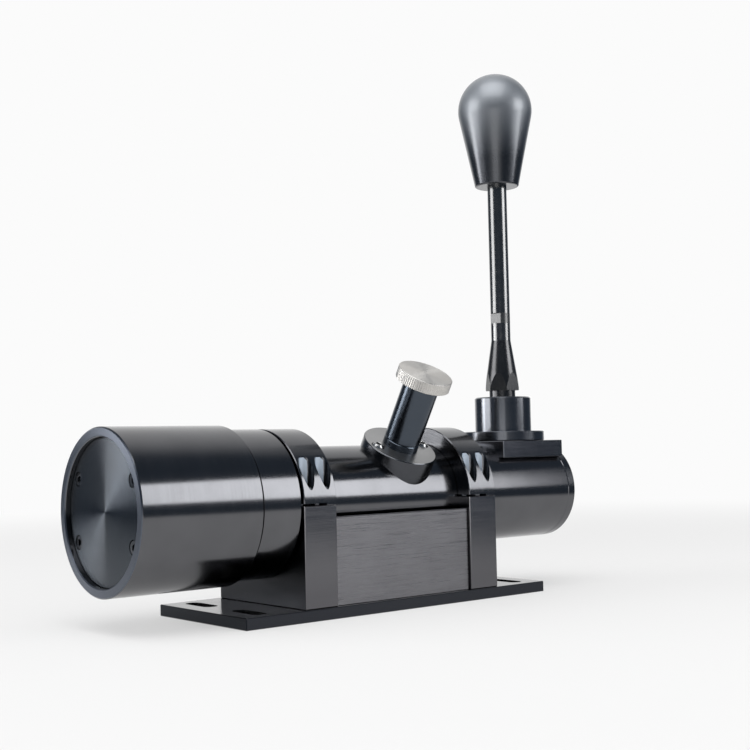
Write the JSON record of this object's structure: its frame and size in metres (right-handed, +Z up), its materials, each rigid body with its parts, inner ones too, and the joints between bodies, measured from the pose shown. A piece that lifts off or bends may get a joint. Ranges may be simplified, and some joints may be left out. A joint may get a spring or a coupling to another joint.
{
  "type": "sim racing gear shifter",
  "caption": "Gated gear lever over a round clamped tube with a selector shaft inside, a leaning drag adjuster and a slotted base plate, for a simulator rig.",
  "frame": {"origin": "centre of the base plate's underside", "axes": "+X along the tube towards the lever, -Y towards the side plate that the camera sees, +Z up"},
  "size_m": [0.3096, 0.0936, 0.3196],
  "materials": {
    "black_anodised": "satin anodised, turned and milled",
    "brushed_plate": "brushed and dark anodised",
    "plain_aluminium": "machined",
    "bright_steel": "turned and knurled",
    "black_screws": "black oxide",
    "ground_steel": "ground",
    "gloss_black_steel": "gloss black",
    "knob_black": "satin",
    "bronze": "machined",
    "spring_steel": "drawn wire",
    "seat_polymer": "smooth",
    "magnet_nickel": "plated",
    "circuit_board": "solder mask",
    "socket_shell": "plated"
  },
  "bodies": {
    "frame": {"base_plate": "black_anodised", "front_pedestal": "black_anodised", "rear_pedestal": "black_anodised", "front_clamp_cap": "black_anodised", "rear_clamp_cap": "black_anodised", "clamp_screws": "bright_steel", "pedestal_screws": "black_screws", "near_side_plate": "brushed_plate", "far_side_plate": "black_anodised", "side_plate_screws": "black_screws", "main_tube": "black_anodised", "front_housing": "black_anodised", "front_cover": "black_anodised", "front_cover_screws": "black_screws", "adapter_ring": "black_anodised", "hub_retainer": "plain_aluminium", "retainer_screws": "black_screws", "front_bush": "bronze", "rear_bulkhead": "plain_aluminium", "rear_bush": "bronze", "rear_end_cap": "black_anodised", "gate_pin": "black_screws", "near_centring_spring": "spring_steel", "far_centring_spring": "spring_steel", "sensor_board": "circuit_board", "controller_board": "circuit_board", "board_standoffs": "plain_aluminium", "usb_socket": "socket_shell", "lever_saddle": "black_anodised", "pivot_housing": "black_anodised", "pivot_screws": "black_screws", "lower_ball_seat": "seat_polymer", "upper_ball_seat": "seat_polymer", "seat_ring": "black_anodised", "drag_saddle": "black_anodised", "drag_saddle_screws": "bright_steel", "drag_tower": "black_anodised", "drag_pad": "bronze", "drag_spring": "spring_steel", "cap_washer": "seat_polymer"},
    "cross_pin": {"cross_pin": "ground_steel"},
    "lever": {"pivot_ball": "ground_steel", "lever_stem": "ground_steel", "lever_hub": "gloss_black_steel", "lever_rod": "gloss_black_steel", "shift_knob": "knob_black"},
    "centring_hub": {"centring_hub": "plain_aluminium"},
    "selector_shaft": {"selector_shaft": "ground_steel", "selector_head": "plain_aluminium", "shaft_set_screws": "black_screws", "gate_drum": "plain_aluminium", "position_magnet": "magnet_nickel"},
    "adjuster_cap": {"adjuster_cap": "bright_steel", "adjuster_screw": "ground_steel", "adjuster_clip": "ground_steel"},
    "adjuster_nut": {"adjuster_nut": "bronze"}
  },
  "joints": [
    {"name": "gate_sweep", "type": "hinge", "parent": "frame", "child": "cross_pin", "pos_m": [0.1164, 0, 0.1038], "axis": [1, 0, 0], "range_deg": [-7, 7], "stiffness_Nm_per_rad": 12},
    {"name": "gear_throw", "type": "hinge", "parent": "cross_pin", "child": "lever", "pos_m": [0.1164, 0, 0.1038], "axis": [0, 1, 0], "range_deg": [-9, 9]},
    {"name": "shaft_turn", "type": "hinge", "parent": "frame", "child": "centring_hub", "pos_m": [-0.1061, 0, 0.0583], "axis": [1, 0, 0], "range_deg": [-13.31, 13.31], "deforming": ["near_centring_spring", "far_centring_spring"]},
    {"name": "shaft_slide", "type": "slide", "parent": "centring_hub", "child": "selector_shaft", "axis": [1, 0, 0], "range_m": [-0.0048, 0.0048]},
    {"name": "cap_turn", "type": "hinge", "parent": "frame", "child": "adjuster_cap", "pos_m": [0.0161, 0, 0.0583], "axis": [0, -0.5, 0.866], "range_deg": [0, 1080]},
    {"name": "nut_travel", "type": "slide", "parent": "frame", "child": "adjuster_nut", "axis": [0, -0.5, 0.866], "range_m": [-0.0038, 0], "deforming": ["drag_spring"]}
  ],
  "couplings": [
    {"joint": "shaft_turn", "follows": "gate_sweep", "ratio": -1.9},
    {"joint": "shaft_slide", "follows": "gear_throw", "m_per_rad": -0.0305},
    {"joint": "nut_travel", "follows": "cap_turn", "m_per_rad": -0.00019894}
  ]
}
